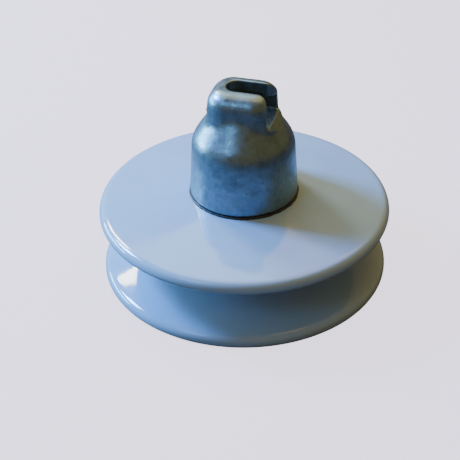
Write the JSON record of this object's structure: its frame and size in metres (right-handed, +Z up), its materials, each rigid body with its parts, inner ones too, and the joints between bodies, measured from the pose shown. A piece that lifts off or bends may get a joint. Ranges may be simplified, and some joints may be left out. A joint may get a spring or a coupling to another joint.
{
  "type": "porcelain insulator",
  "caption": "Double-shed porcelain disc suspension insulator with a galvanised cap, a ball socket on top and a ball-ended pin below, for carrying overhead line conductors.",
  "frame": {"origin": "centre of the foot plane, on the axis, level with the bottom of the lower shed's rim", "axes": "+Z up along the axis to the socket; +X the side on which the ball enters the socket"},
  "size_m": [0.255, 0.255, 0.179],
  "materials": {
    "glazed_porcelain": "smooth glossy pale blue-grey glaze",
    "galvanised_iron": "hot-dip galvanised casting, glossy blue-grey, slightly rough skin",
    "galvanised_steel": "hot-dip galvanised forging",
    "bronze_wire": "drawn phosphor bronze wire",
    "porcelain_grit": "fired grit, matt",
    "cement": "matt Portland cement",
    "bitumen": "satin black bituminous coat",
    "cork": "matt cork sheet"
  },
  "bodies": {
    "insulator": {"cap": "galvanised_iron", "porcelain_shell": "glazed_porcelain", "head_sand_band": "porcelain_grit", "bore_sand_band": "porcelain_grit", "cap_cement": "cement", "cap_bitumen": "bitumen", "base_seal": "bitumen", "head_cushion": "cork", "pin_cement": "cement", "pin_bitumen": "bitumen", "pin_cushion": "cork", "pin_seal": "bitumen", "ball_pin": "galvanised_steel"},
    "clip": {"locking_clip": "bronze_wire"}
  },
  "joints": [
    {"name": "clip_slide", "type": "slide", "parent": "insulator", "child": "clip", "axis": [-1, 0, 0], "range_m": [0, 0.013]}
  ]
}
